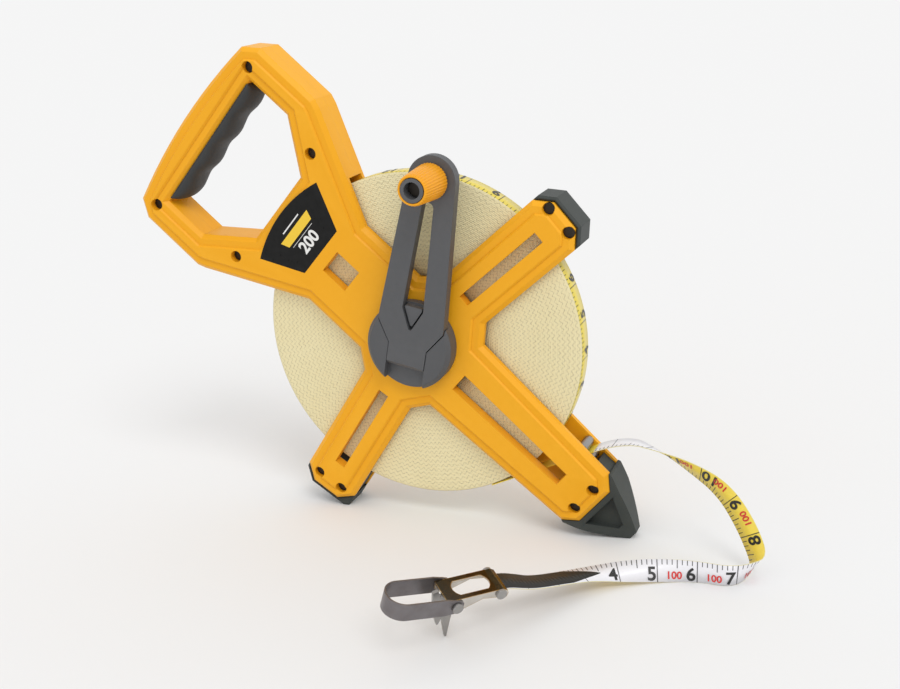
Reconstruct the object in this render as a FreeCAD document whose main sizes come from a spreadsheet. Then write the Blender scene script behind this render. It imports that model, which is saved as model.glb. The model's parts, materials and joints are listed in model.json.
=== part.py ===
"""Open surveyor's tape reel: two moulded half frames clamp end caps and a pointed foot, and
a wound fibreglass tape turns between them on an axle with a folding crank.

The reel is drawn in its own axes: +Z along the axle towards the crank, +X along the nose arm,
z = 0 half way through the frame. It is then stood on its lower cap and nose, so that the
finished part has +Z up and its crank side faces -Y. Lengths are millimetres.
"""
import FreeCAD, Part
import math
import os

import Sketcher
from FreeCAD import Placement, Rotation, Vector

SIZES = [
    # stance
    ("stance_angle", 41.5, "nose arm below the horizontal when the reel stands, degrees"),
    ("axle_height", 16.5, "axle above the ground"),
    # tape
    ("tape_width", 12.7, "half inch tape"),
    ("tape_thick", 0.5, "fibreglass tape"),
    ("roll_radius", 102, "full winding"),
    ("core_radius", 30, "drum that the tape is wound on"),
    ("tape_gap", 0.3, "roll to the stretch that leaves it"),
    # frame halves
    ("half_depth", 15, "middle of the frame to its front face"),
    ("plate_inner", 8, "middle of the frame to the inside of an arm's plate"),
    ("ledge_drop", 1.4, "raised panel above the ledge round it"),
    ("ledge_width", 6.5, "edge of the frame to the raised panel"),
    ("edge_bevel", 2.6, "outer edge of the frame"),
    ("panel_bevel", 1.1, "edge of the raised panel"),
    ("roll_clear", 3, "roll to the handle's inner wall"),
    ("arm_angle", 82, "side arm to the nose arm, degrees"),
    ("arm_half", 18.5, "half of a side arm's width"),
    ("arm_reach", 21.6, "axle to the end of the upper arm"),
    ("leg_gap", 0.55, "end of the lower arm short of where its side meets the ground"),
    ("arm_corner", 9, "corner cut of a side arm"),
    ("nose_root", 27.5, "half of the nose arm's width at the hub"),
    ("nose_half", 22.3, "half of the nose arm's width at its end"),
    ("nose_reach", 44, "axle to the end of the nose arm"),
    ("nose_corner", 8, "corner cut of the nose arm"),
    ("neck_half", 31.8, "half of the neck's width"),
    ("neck_reach", -34, "axle to where the neck widens"),
    ("handle_half", 70.2, "half of the handle's length"),
    ("handle_front", 36.5, "axle to the handle's front corner"),
    ("handle_back", 91, "axle to the handle's back corner"),
    ("back_radius", 380, "curve of the handle's back"),
    ("opening_back", 75.5, "axle to the grip side of the hand opening"),
    ("opening_front", 15.6, "axle to the label side of the hand opening"),
    ("opening_half", 50.5, "half of the hand opening's length"),
    ("opening_narrow", 26, "half of the hand opening at the label side"),
    ("opening_corner", 44.5, "axle to the hand opening's bend"),
    ("slot_half", 3.5, "half of a side arm's slot"),
    ("slot_start", 42.5, "axle to a side arm's slot"),
    ("slot_end", 2.8, "axle to the far end of that slot"),
    ("nose_slot_start", 36, "axle to the nose arm's slot"),
    ("nose_slot_end", 18.5, "axle to the far end of that slot"),
    ("nose_slot_wide", 6.4, "half of the nose slot at the hub"),
    ("nose_slot_narrow", 4.8, "half of the nose slot at its end"),
    ("window_near", -49, "axle to the neck window"),
    ("window_far", -30.7, "axle to the far side of the neck window"),
    ("window_half", 8, "half of the neck window's height"),
    ("label_depth", 1, "recess of the label"),
    ("label_thick", 0.9, "label plate"),
    ("label_near", -22.8, "axle to the straight side of the label"),
    ("label_near_half", 18.3, "half of that side"),
    ("label_far", 5, "axle to the label's corners"),
    ("label_far_half", 32.8, "half of the label at its corners"),
    ("label_radius", -16, "curved side of the label"),
    # screws
    ("screw_well", 3.6, "radius of a screw's well"),
    ("screw_well_depth", 6, "depth of a screw's well"),
    ("screw_head", 3.3, "radius of a screw head"),
    ("screw_head_high", 1.8, "height of a screw head"),
    ("screw_shank", 1.5, "radius of a screw's shank"),
    ("screw_hole", 1.6, "radius of a screw's clearance hole"),
    ("screw_bite", 4, "length of thread in the rear half"),
    ("arm_screw_reach", 17.4, "axle to a side arm's screws, along the arm"),
    ("arm_screw_half", 8.7, "half of the space between them"),
    ("nose_screw_reach", 36, "axle to the nose screws"),
    ("nose_screw_half", 8.75, "half of the space between them"),
    ("neck_screw_reach", 18.3, "axle to the neck screws"),
    ("neck_screw_half", 43.9, "half of the space between them"),
    ("handle_screw_reach", 79.8, "axle to the handle screws"),
    ("handle_screw_half", 57, "half of the space between them"),
    # caps and nose
    ("cap_inner", 5, "axle to the inside of an end cap"),
    ("cap_over", 2.9, "end of an arm to the outside of its cap"),
    ("cap_lip", 10.6, "half thickness of a cap outside the frame"),
    ("cap_bevel", 1.2, "edge of a cap"),
    ("joint_gap", 0.2, "end of an arm to the cap or nose beyond it"),
    ("nose_inner", 26.6, "axle to the inside of the nose piece"),
    ("nose_base_half", 23, "half of the nose piece where it leaves the arm"),
    ("nose_base_thick", 11.4, "half thickness there"),
    ("nose_tip_half", 3, "half of the nose tip's width"),
    ("nose_tip_thick", 4.5, "half thickness of the nose tip"),
    ("nose_curve", 160, "curve of the nose's sides"),
    ("nose_dish", 5, "floor of the nose's three-cornered dish above the middle"),
    # guide rollers
    ("lead_angle", 24, "where the tape leaves the roll, below the nose arm, degrees"),
    ("roller_along", 0.647, "from there to the guide rollers, in roll radii"),
    ("lead_over", 6, "guide rollers to the end of the mouth"),
    ("roller_radius", 3.2, "guide roller"),
    ("roller_half", 7.6, "half of a guide roller's length"),
    ("roller_gap", 0.4, "roller to the tape"),
    ("pin_radius", 1.5, "guide roller's pin"),
    ("pin_seat", 2, "depth of the pin's seat in each half"),
    ("running_fit", 0.05, "radial clearance of a turning fit"),
    # axle and crank
    ("axle_radius", 5, "steel axle"),
    ("bush_radius", 9, "bearing bush"),
    ("hub_gap", 0.5, "hub disc to the frame"),
    ("hub_radius", 27, "crank hub disc"),
    ("hub_high", 11.5, "thickness of the hub disc"),
    ("hub_floor", 5, "hub disc under the crank arm"),
    ("hub_bevel", 2.5, "edge of the hub disc"),
    ("core_half", 7.3, "half thickness of the drum"),
    ("rear_cap_radius", 14, "rear retaining cap"),
    ("rear_cap_high", 4, "thickness of the rear retaining cap"),
    ("crank_angle", 119.7, "crank arm to the nose arm at rest, degrees"),
    ("crank_radius", 1.5, "axle to the knob"),
    ("crank_thick", 6.5, "crank arm"),
    ("crank_tail", 13.2, "axle to the crank arm's tail"),
    ("crank_tail_half", 12.1, "half of the tail's width"),
    ("crank_shoulder", 16, "axle to the crank arm's shoulder"),
    ("crank_wide", 20.8, "half of the crank arm at its shoulder"),
    ("crank_tip", 14.6, "radius of the crank arm's round end"),
    ("crank_side_gap", 0.35, "crank arm to the hub's cheeks"),
    ("fork_start", 11.5, "axle to the point of the crank arm's fork"),
    ("fork_wide_at", 24.4, "axle to the fork's widest place"),
    ("fork_wide", 6.7, "half of the fork there"),
    ("fork_end", 87, "axle to the round end of the fork"),
    ("fork_narrow", 3.7, "half of the fork at its round end"),
    ("hinge_back", 10, "axle to the crank's hinge pin, towards the tail"),
    ("hinge_radius", 1.6, "crank's hinge pin"),
    # knob
    ("knob_lift", 0.6, "crank arm to the knob"),
    ("knob_long", 28, "length of the knob"),
    ("knob_base", 10.8, "radius of the knob at the arm"),
    ("knob_front", 9, "radius of the knob at its end"),
    ("sleeve_radius", 6.9, "outside of the knob's sleeve"),
    ("spindle_radius", 4.7, "knob's spindle"),
    ("spindle_long", 21, "length of the knob's spindle"),
    # grip
    ("grip_half", 47.5, "half of the rubber grip's length"),
    ("grip_depth", 12.5, "half of the rubber grip's thickness"),
    ("grip_bulge", 8.6, "how far the grip stands into the opening"),
    # hook
    ("hook_turn", 226.1, "direction of the hook on the ground, degrees"),
    ("hook_roll", 14, "lean of the hook's plate, degrees"),
    ("hook_x", 86, "rear rivet from the axle, to the right"),
    ("hook_y", 124.7, "rear rivet from the middle of the frame, to the front"),
    ("hook_z", 27.2, "rear rivet above the ground"),
    ("hook_half", 8.5, "half of the bracket's width"),
    ("hook_sheet", 1, "thickness of the bracket's sheet"),
    ("hook_top", 4, "rivet axis to the top of the bracket"),
    ("rivet_pitch", 25.8, "rear rivet to front rivet"),
    ("rivet_radius", 1.6, "rivet shank"),
    ("rivet_head", 3, "rivet head"),
    ("rivet_head_high", 1.2, "height of a rivet head"),
    ("ring_width", 10, "width of the ring's strip"),
    ("ring_reach", 38, "front rivet to the end of the ring"),
    ("ring_lift", 11, "ring above the line of the hook, degrees"),
    ("claw_half", 1, "half of the claw's thickness"),
    ("claw_drop", 27.5, "front rivet down to the claw's long point"),
    ("claw_short", 17.5, "front rivet down to the claw's short point"),
]

# These are measured outwards from the rim of the full roll, so the frame grows with the roll.
FROM_RIM = (
    "axle_height", "arm_reach", "nose_reach", "neck_reach", "handle_front", "handle_back",
    "opening_back", "opening_front", "opening_corner", "slot_end", "nose_slot_end",
    "window_near", "window_far", "label_near", "label_far", "label_radius",
    "arm_screw_reach", "nose_screw_reach", "neck_screw_reach", "handle_screw_reach",
    "cap_inner", "nose_inner", "crank_radius",
)

# Free tape between the mouth and the hook: x and y from the ground under the axle, height of
# its middle above the height it has when it stands on edge, and the direction across it.
ROUTE = [
    ((148, -5, 53), (0.3, -1, 0.35)),
    ((168, -11, 47.5), (0.65, -0.8, 0.75)),
    ((187, -17, 39), (0.9, -0.4, 0.75)),
    ((201, -22, 20.5), (0.95, -0.2, 0.6)),
    ((210, -27, 0.5), (0.6, -0.2, 0.8)),
    ((199, -46.5, 0.25), (0.1, 0, 1)),
    ((176, -44.5, 0.25), (0, 0, 1)),
    ((147, -53, 0.25), (-0.5, 0.5, 0.8)),
    ((124, -67, 2), (-0.69, 0.69, 0.2)),
    ((111.5, -84, 6.2), (-0.7, 0.68, 0.08)),
    ((101, -102.5, 11.7), (-0.7, 0.68, 0.1)),
]
ROUTE_MOUTH = (107.9, 55.5)     # x and height of the mouth that the route was laid out from
LEADER_LONG = 65                # reinforced leader, back from the hook
TAPE_STEPS = 60                 # straight-sided lengths that the free tape is built from

doc = FreeCAD.newDocument("tape_reel")
sheet = doc.addObject("Spreadsheet::Sheet", "Sizes")
for row, (alias, number, meaning) in enumerate(SIZES, 1):
    sheet.set(f"A{row}", meaning)
    sheet.set(f"B{row}", str(number))
    sheet.setAlias(f"B{row}", alias)
doc.recompute()


class Size:
    """A number together with the spreadsheet formula that gives it."""

    def __init__(self, number, formula):
        self.number = number
        self.formula = formula

    def __add__(self, other):
        other = as_size(other)
        return Size(self.number + other.number, f"({self.formula} + {other.formula})")

    def __sub__(self, other):
        other = as_size(other)
        return Size(self.number - other.number, f"({self.formula} - {other.formula})")

    def __mul__(self, other):
        other = as_size(other)
        return Size(self.number * other.number, f"({self.formula} * {other.formula})")

    def __truediv__(self, other):
        other = as_size(other)
        return Size(self.number / other.number, f"({self.formula} / {other.formula})")

    def __radd__(self, other):
        return as_size(other) + self

    def __rsub__(self, other):
        return as_size(other) - self

    def __rmul__(self, other):
        return as_size(other) * self

    def __neg__(self):
        return Size(-self.number, f"(-1 * {self.formula})")


def as_size(value):
    return value if isinstance(value, Size) else Size(value, f"({value})")


def sine(angle):
    return Size(math.sin(math.radians(angle.number)), f"sin({angle.formula} * 1 deg)")


def cosine(angle):
    return Size(math.cos(math.radians(angle.number)), f"cos({angle.formula} * 1 deg)")


class Sheet:
    """The spreadsheet's sizes by name, as s.roll_radius."""

    def __getattr__(self, alias):
        size = Size(float(sheet.get(alias)), f"Sizes.{alias}")
        return self.roll_radius + size if alias in FROM_RIM else size


s = Sheet()
parts = {}              # node name: the object that makes it


# ---------------------------------------------------------------- drawing helpers

def bind(thing, prop, value):
    thing.setExpression(prop, as_size(value).formula)


def new_body(node):
    body = doc.addObject("PartDesign::Body", node)
    body.Label = node
    parts[node] = body
    return body


def new_sketch(body, level=0, role="XY_Plane"):
    """An empty sketch on one of the body's own planes, raised to a level."""
    sketch = body.newObject("Sketcher::SketchObject", "Sketch")
    plane = [f for f in body.Origin.OriginFeatures if f.Role == role][0]
    sketch.AttachmentSupport = [(plane, "")]
    sketch.MapMode = "FlatFace"
    bind(sketch, ".AttachmentOffset.Base.z", level)
    return sketch


def pin_point(sketch, index, which, point):
    for kind, value in zip(("DistanceX", "DistanceY"), point):
        value = as_size(value)
        number = sketch.addConstraint(Sketcher.Constraint(kind, index, which, value.number))
        bind(sketch, f"Constraints[{number}]", value)


def round_side(start, end, radius):
    """The arc from start to end that bulges to the right of the way along."""
    chord = end - start
    middle = (start + end) * 0.5
    out = Vector(chord.y, -chord.x, 0).normalize()
    rise = radius - math.sqrt(radius ** 2 - (chord.Length / 2) ** 2)
    return Part.Arc(start, middle + out * rise, end)


def draw_corners(sketch, corners, rounds=None):
    """A closed outline, anticlockwise. rounds gives the radius of a side that bulges out."""
    rounds = rounds or {}
    first = sketch.GeometryCount
    count = len(corners)
    spots = [Vector(as_size(x).number, as_size(y).number, 0) for x, y in corners]
    for side in range(count):
        start, end = spots[side], spots[(side + 1) % count]
        if side in rounds:
            sketch.addGeometry(round_side(start, end, rounds[side].number), False)
        else:
            sketch.addGeometry(Part.LineSegment(start, end), False)
    for side in range(count):
        link = Sketcher.Constraint("Coincident", first + side, 2, first + (side + 1) % count, 1)
        sketch.addConstraint(link)
        pin_point(sketch, first + side, 1, corners[side])
        if side in rounds:
            radius = Sketcher.Constraint("Radius", first + side, rounds[side].number)
            number = sketch.addConstraint(radius)
            bind(sketch, f"Constraints[{number}]", rounds[side])


def draw_circle(sketch, centre, radius):
    spot = Vector(as_size(centre[0]).number, as_size(centre[1]).number, 0)
    index = sketch.addGeometry(Part.Circle(spot, Vector(0, 0, 1), radius.number), False)
    pin_point(sketch, index, 3, centre)
    number = sketch.addConstraint(Sketcher.Constraint("Radius", index, radius.number))
    bind(sketch, f"Constraints[{number}]", radius)


def pad(body, profile, length, both_ways=False):
    feature = body.newObject("PartDesign::Pad", "Pad")
    feature.Profile = profile
    bind(feature, "Length", length)
    feature.Midplane = both_ways
    return feature


def pocket(body, profile, depth, upwards=False, both_ways=False):
    feature = body.newObject("PartDesign::Pocket", "Pocket")
    feature.Profile = profile
    bind(feature, "Length", depth)
    feature.Reversed = upwards
    feature.Midplane = both_ways
    return feature


def inset(body, sketch, distance):
    """The sketch's face with every edge moved inwards."""
    binder = body.newObject("PartDesign::SubShapeBinder", "Inset")
    binder.Support = [(sketch, "")]
    binder.OffsetJoinType = "Intersection"
    bind(binder, "Offset", -distance)
    return binder


def bevel_faces(body, feature, size, chosen):
    """Chamfer the edges of the feature's flat faces that chosen picks by centre and normal."""
    doc.recompute()
    names = []
    for number, face in enumerate(feature.Shape.Faces, 1):
        if face.Surface.TypeId == "Part::GeomPlane":
            if chosen(face.CenterOfMass, face.normalAt(0, 0)):
                names.append(f"Face{number}")
    chamfer = body.newObject("PartDesign::Chamfer", "Chamfer")
    chamfer.Base = (feature, names)
    bind(chamfer, "Size", size)
    return chamfer


def facing(level, direction):
    """Picks the flat faces at a level along Z that look up (1) or down (-1)."""
    def chosen(centre, normal):
        return abs(centre.z - level.number) < 0.001 and normal.z * direction > 0.99
    return chosen


def cylinder(name, radius, low, high, centre=(0, 0)):
    thing = doc.addObject("Part::Cylinder", name)
    bind(thing, "Radius", radius)
    bind(thing, "Height", high - low)
    bind(thing, ".Placement.Base.x", centre[0])
    bind(thing, ".Placement.Base.y", centre[1])
    bind(thing, ".Placement.Base.z", low)
    return thing


def take_away(node, base, tool):
    thing = doc.addObject("Part::Cut", node)
    thing.Base = base
    thing.Tool = tool
    thing.Label = node
    parts[node] = thing
    return thing


def rod(node, radius, low, high, centre=(0, 0)):
    body = new_body(node)
    sketch = new_sketch(body, low)
    draw_circle(sketch, centre, radius)
    pad(body, sketch, high - low)
    return body


def tube(node, outer, inner, low, high, centre=(0, 0)):
    body = new_body(node)
    sketch = new_sketch(body, low)
    draw_circle(sketch, centre, outer)
    draw_circle(sketch, centre, inner)
    pad(body, sketch, high - low)
    return body


# ---------------------------------------------------------------- shared places

def on_arm(along, across, side=1):
    """A place on a side arm: side 1 is the upper arm, -1 the lower one."""
    x = cosine(s.arm_angle) * along + sine(s.arm_angle) * across
    y = (sine(s.arm_angle) * along - cosine(s.arm_angle) * across) * side
    return x, y


def mirrored(corners):
    """The corners again below the X axis, in the other order."""
    return [(x, -as_size(y)) for x, y in reversed(corners)]


ARM_SCREWS = [on_arm(s.arm_screw_reach, s.arm_screw_half * end, side)
              for side in (1, -1) for end in (1, -1)]
NOSE_SCREWS = [(s.nose_screw_reach, s.nose_screw_half * side) for side in (1, -1)]
HANDLE_SCREWS = [(-reach, half * side)
                 for reach, half in ((s.neck_screw_reach, s.neck_screw_half),
                                     (s.handle_screw_reach, s.handle_screw_half))
                 for side in (1, -1)]
SCREWS = ARM_SCREWS + NOSE_SCREWS + HANDLE_SCREWS

# upper half of the handle's outline, from the neck round to the back
HANDLE_EDGE = [
    (-s.neck_reach, s.neck_half),
    (-s.handle_front + 5.5, s.handle_half - 2.2),
    (-s.handle_front, s.handle_half),
    (-s.handle_back + 10, s.handle_half),
    (-s.handle_back, s.handle_half - 7.5),
]
def ground_reach(across):
    """How far along the lower arm the ground is, at a distance across it."""
    fall = sine(s.stance_angle) * cosine(s.arm_angle) + cosine(s.stance_angle) * sine(s.arm_angle)
    lean = cosine(s.stance_angle) * cosine(s.arm_angle) - sine(s.stance_angle) * sine(s.arm_angle)
    return (s.axle_height + lean * across) / fall


def ground_across(along):
    """How far across the lower arm the ground is, at a distance along it."""
    fall = sine(s.stance_angle) * cosine(s.arm_angle) + cosine(s.stance_angle) * sine(s.arm_angle)
    lean = cosine(s.stance_angle) * cosine(s.arm_angle) - sine(s.stance_angle) * sine(s.arm_angle)
    return (fall * along - s.axle_height) / lean


# the lower arm ends just short of where the outer corner of its foot meets the ground
LEG_REACH = ground_reach(s.arm_half) - s.leg_gap


def arm_edge(reach):
    """The outline from the nose to the neck, round an upper arm with this reach."""
    return [
        (s.nose_reach, s.nose_half - s.nose_corner),
        (s.nose_reach - s.nose_corner, s.nose_half),
        (s.nose_root + 4.5, s.nose_root),
        on_arm(s.nose_root + 14.5, s.arm_half),
        on_arm(reach - s.arm_corner, s.arm_half),
        on_arm(reach, s.arm_half - s.arm_corner),
        on_arm(reach, s.arm_corner - s.arm_half),
        on_arm(reach - s.arm_corner, -s.arm_half),
        on_arm(s.neck_half + 7.5, -s.arm_half),
        (s.neck_half * -0.5 - 8, s.neck_half),
    ]


OPENING = [
    (-s.opening_back, -s.opening_half),
    (-s.opening_corner, -s.opening_half),
    (-s.opening_front, -s.opening_narrow),
    (-s.opening_front, s.opening_narrow),
    (-s.opening_corner, s.opening_half),
    (-s.opening_back, s.opening_half),
]
LABEL = [
    (-s.label_near, -s.label_near_half),
    (-s.label_near, s.label_near_half),
    (-s.label_far, s.label_far_half),
    (-s.label_far, -s.label_far_half),
]

# tape from the roll to the mouth: a straight line that leaves the roll as a tangent
lead_radius = s.roll_radius + s.tape_gap + s.tape_thick / 2


def on_lead(along, off=0):
    """A place beside the straight tape, off towards the nose."""
    reach = lead_radius + off
    x = cosine(s.lead_angle) * reach + sine(s.lead_angle) * along
    y = cosine(s.lead_angle) * along - sine(s.lead_angle) * reach
    return x, y


roller_off = s.roller_radius + s.tape_thick / 2 + s.roller_gap
roller_at = s.roll_radius * s.roller_along
ROLLERS = {"inner": on_lead(roller_at, -roller_off), "outer": on_lead(roller_at, roller_off)}


# ---------------------------------------------------------------- frame halves

def draw_frame_outline(sketch, front):
    """The outline with the long arm below, or above on the half that is drawn turned over."""
    reaches = (s.arm_reach, LEG_REACH) if front else (LEG_REACH, s.arm_reach)
    upper = arm_edge(reaches[0]) + HANDLE_EDGE
    lower = arm_edge(reaches[1]) + HANDLE_EDGE
    draw_corners(sketch, upper + mirrored(lower), {len(upper) - 1: s.back_radius})
    draw_corners(sketch, OPENING)


def make_frame_half(node, front):
    """One moulded half, front face up. The rear half is turned over when it is placed."""
    body = new_body(node)
    ledge = s.half_depth - s.ledge_drop
    outline = new_sketch(body, s.plate_inner)
    draw_frame_outline(outline, front)
    plate = pad(body, outline, ledge - s.plate_inner)
    bevel_faces(body, plate, s.edge_bevel, facing(ledge, 1))

    panel = inset(body, outline, s.ledge_width)
    bind(panel, "Placement.Base.z", ledge - s.plate_inner)
    raised = pad(body, panel, s.ledge_drop)
    bevel_faces(body, raised, s.panel_bevel, facing(s.half_depth, 1))

    # the handle is as deep as the frame; the roll turns in the round space beside it
    deep = new_sketch(body)
    draw_corners(deep, HANDLE_EDGE + mirrored(HANDLE_EDGE), {len(HANDLE_EDGE) - 1: s.back_radius})
    draw_corners(deep, OPENING)
    pad(body, deep, s.plate_inner + 1)
    space = new_sketch(body)
    draw_circle(space, (0, 0), s.roll_radius + s.roll_clear)
    pocket(body, space, s.plate_inner, upwards=True)
    hollow = new_sketch(body)
    wall = 3.6
    draw_corners(hollow, [(-s.opening_back - wall, -s.opening_half + 6),
                          (-s.opening_back - wall, s.opening_half - 6),
                          (-s.handle_back + wall - 1, s.opening_half - 6),
                          (-s.handle_back + wall - 1, -s.opening_half + 6)])
    for side in (1, -1):
        near = s.opening_half + wall
        far = s.handle_half - wall
        limb = [(-s.opening_corner - 24, near), (-s.opening_corner, near),
                (-s.opening_corner, far), (-s.opening_corner - 24, far)]
        draw_corners(hollow, limb if side > 0 else mirrored(limb))
    pocket(body, hollow, ledge - 3, upwards=True)

    # windows that show the winding
    windows = new_sketch(body, s.half_depth)
    for side in (1, -1):
        arm = [on_arm(s.slot_start, s.slot_half), on_arm(s.slot_end, s.slot_half),
               on_arm(s.slot_end, -s.slot_half), on_arm(s.slot_start, -s.slot_half)]
        draw_corners(windows, arm if side > 0 else mirrored(arm))
    draw_corners(windows, [(s.nose_slot_start, -s.nose_slot_wide),
                           (s.nose_slot_end, -s.nose_slot_narrow),
                           (s.nose_slot_end, s.nose_slot_narrow),
                           (s.nose_slot_start, s.nose_slot_wide)])
    draw_corners(windows, [(-s.window_far, -s.window_half), (-s.window_near, -s.window_half),
                           (-s.window_near, s.window_half), (-s.window_far, s.window_half)])
    draw_circle(windows, (0, 0), s.bush_radius)
    pocket(body, windows, s.half_depth - s.plate_inner)

    if front:
        recess = new_sketch(body, s.half_depth)
        draw_corners(recess, LABEL, {2: s.label_radius})
        pocket(body, recess, s.label_depth)
        wells = new_sketch(body, s.half_depth)
        holes = new_sketch(body, s.half_depth)
        for place in SCREWS:
            draw_circle(wells, place, s.screw_well)
            draw_circle(holes, place, s.screw_hole)
        pocket(body, wells, s.screw_well_depth)
        pocket(body, holes, s.half_depth)
    else:
        seats = new_sketch(body)
        for x, y in SCREWS:
            draw_circle(seats, (x, -as_size(y)), s.screw_shank)
        pocket(body, seats, s.plate_inner + s.screw_bite, upwards=True)
    pins = new_sketch(body, s.plate_inner)
    for x, y in ROLLERS.values():
        draw_circle(pins, (x, y if front else -y), s.pin_radius)
    pocket(body, pins, s.pin_seat, upwards=True)


make_frame_half("front_frame", front=True)
make_frame_half("rear_frame", front=False)

label = new_body("label_plate")
label_sketch = new_sketch(label, s.half_depth - s.label_depth)
draw_corners(label_sketch, LABEL, {2: s.label_radius})
pad(label, label_sketch, s.label_thick)

screws = new_body("frame_screws")
screws.AllowCompound = True
head_level = s.half_depth - s.screw_well_depth
heads = new_sketch(screws, head_level)
shanks = new_sketch(screws, head_level + 0.5)
for place in SCREWS:
    draw_circle(heads, place, s.screw_head)
    draw_circle(shanks, place, s.screw_shank)
pad(screws, heads, s.screw_head_high)
shank_pad = pad(screws, shanks, head_level + 0.5 + s.plate_inner + s.screw_bite)
shank_pad.Reversed = True

grip = new_body("handle_grip")
grip_sketch = new_sketch(grip, 0, "XZ_Plane")
draw_corners(grip_sketch, [(-s.opening_back, -s.grip_depth), (-s.opening_back + 1.6, -s.grip_depth),
                           (-s.opening_back + 1.6, s.grip_depth), (-s.opening_back, s.grip_depth)],
             {1: (s.grip_depth * s.grip_depth + (s.grip_bulge - 1.6) * (s.grip_bulge - 1.6))
              / (2 * (s.grip_bulge - 1.6))})
pad(grip, grip_sketch, s.grip_half * 2, both_ways=True)


# ---------------------------------------------------------------- end caps and nose

def make_end_cap(node, side):
    """A spacer between the halves, with a bevelled cover over the arm's end. The lower cap's
    outer corner is cut level with the ground, and the reel stands on it."""
    body = new_body(node)
    reach = s.arm_reach if side > 0 else LEG_REACH
    cap_reach = reach + s.cap_over
    lip = reach + s.joint_gap
    lip_half = s.arm_half - s.arm_corner + 0.1
    wing = reach - s.arm_corner + 0.3
    inner_half = s.arm_half - 1
    spacer = [(s.cap_inner, -inner_half), (s.cap_inner, inner_half), (wing + 2.8, inner_half),
              (lip + 1.8, lip_half), (lip + 1.8, -lip_half), (wing + 2.8, -inner_half)]
    corner = reach - s.arm_corner + s.cap_over + 1.2
    corner_half = s.arm_half - s.arm_corner + 1.2
    if side > 0:
        outer = [(corner, s.arm_half), (cap_reach, corner_half)]
    else:
        outer = [(ground_reach(s.arm_half), s.arm_half), (cap_reach, ground_across(cap_reach))]
    cover = [(wing, s.arm_half)] + outer + [
        (cap_reach, -corner_half), (corner, -s.arm_half),
        (wing, -s.arm_half), (lip, -lip_half), (lip, lip_half)]
    for corners, half in ((spacer, s.plate_inner), (cover, s.cap_lip)):
        sketch = new_sketch(body)
        places = [on_arm(along, across, side) for along, across in corners]
        draw_corners(sketch, places if side < 0 else places[::-1])
        last = pad(body, sketch, half * 2, both_ways=True)
    bevel_faces(body, last, s.cap_bevel,
                lambda centre, normal: abs(abs(centre.z) - s.cap_lip.number) < 0.001)
    holes = new_sketch(body)
    for place in (ARM_SCREWS[:2] if side > 0 else ARM_SCREWS[2:]):
        draw_circle(holes, place, s.screw_hole)
    pocket(body, holes, s.half_depth * 2, both_ways=True)


make_end_cap("upper_end_cap", 1)
make_end_cap("lower_end_cap", -1)

nose = new_body("nose_spike")
tip_reach = (s.axle_height - cosine(s.stance_angle) * s.nose_tip_half) / sine(s.stance_angle)
base = s.nose_reach + s.joint_gap
nose_lip = s.nose_half - s.nose_corner + 0.1
nose_wing = s.nose_reach - s.nose_corner + 0.1
spacer_sketch = new_sketch(nose)
nose_upper = [(base + 1.5, nose_lip - 0.5), (nose_wing + 1.5, s.nose_half - 1),
              (s.nose_inner, s.nose_half - 1)]
draw_corners(spacer_sketch, nose_upper + mirrored(nose_upper))
pad(nose, spacer_sketch, s.plate_inner * 2, both_ways=True)
spike_sketch = new_sketch(nose)
spike_upper = [(tip_reach, s.nose_tip_half), (nose_wing + 1.6, s.nose_base_half),
               (nose_wing, s.nose_half + 0.2), (base, nose_lip)]
draw_corners(spike_sketch, spike_upper + mirrored(spike_upper), {0: s.nose_curve, 6: s.nose_curve})
pad(nose, spike_sketch, s.nose_base_thick * 2, both_ways=True)
slope = (s.nose_base_thick - s.nose_tip_thick) / (tip_reach - base - 4)
end_thick = s.nose_tip_thick - slope * 6
side_cut = new_sketch(nose, 0, "XZ_Plane")
wedge = [(base + 4, s.nose_base_thick), (tip_reach + 6, end_thick),
         (tip_reach + 6, s.nose_base_thick + 4), (base + 4, s.nose_base_thick + 4)]
draw_corners(side_cut, wedge)
draw_corners(side_cut, mirrored(wedge))
pocket(nose, side_cut, s.nose_base_half * 4, both_ways=True)
for side in (1, -1):
    dish = new_sketch(nose, s.nose_base_thick * side)
    draw_corners(dish, [(base + 3.4, -13), (tip_reach - 9.5, -2),
                        (tip_reach - 9.5, 2), (base + 3.4, 13)])
    pocket(nose, dish, s.nose_base_thick - s.nose_dish, upwards=side < 0)
nose_holes = new_sketch(nose)
for place in NOSE_SCREWS:
    draw_circle(nose_holes, place, s.screw_hole)
pocket(nose, nose_holes, s.half_depth * 2, both_ways=True)

# ---------------------------------------------------------------- guide rollers

pin_end = s.plate_inner + s.pin_seat
for which, centre in ROLLERS.items():
    tube(f"guide_roller_{which}", s.roller_radius, s.pin_radius + s.running_fit,
         -s.roller_half, s.roller_half, centre)
    rod(f"roller_pin_{which}", s.pin_radius, -pin_end, pin_end, centre)

lead = new_body("tape_lead")
lead_sketch = new_sketch(lead)
lead_end = roller_at + s.lead_over
half_thick = s.tape_thick / 2
draw_corners(lead_sketch, [on_lead(0, -half_thick), on_lead(0, half_thick),
                           on_lead(lead_end, half_thick), on_lead(lead_end, -half_thick)])
pad(lead, lead_sketch, s.tape_width, both_ways=True)

# ---------------------------------------------------------------- axle, drum and winding

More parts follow.
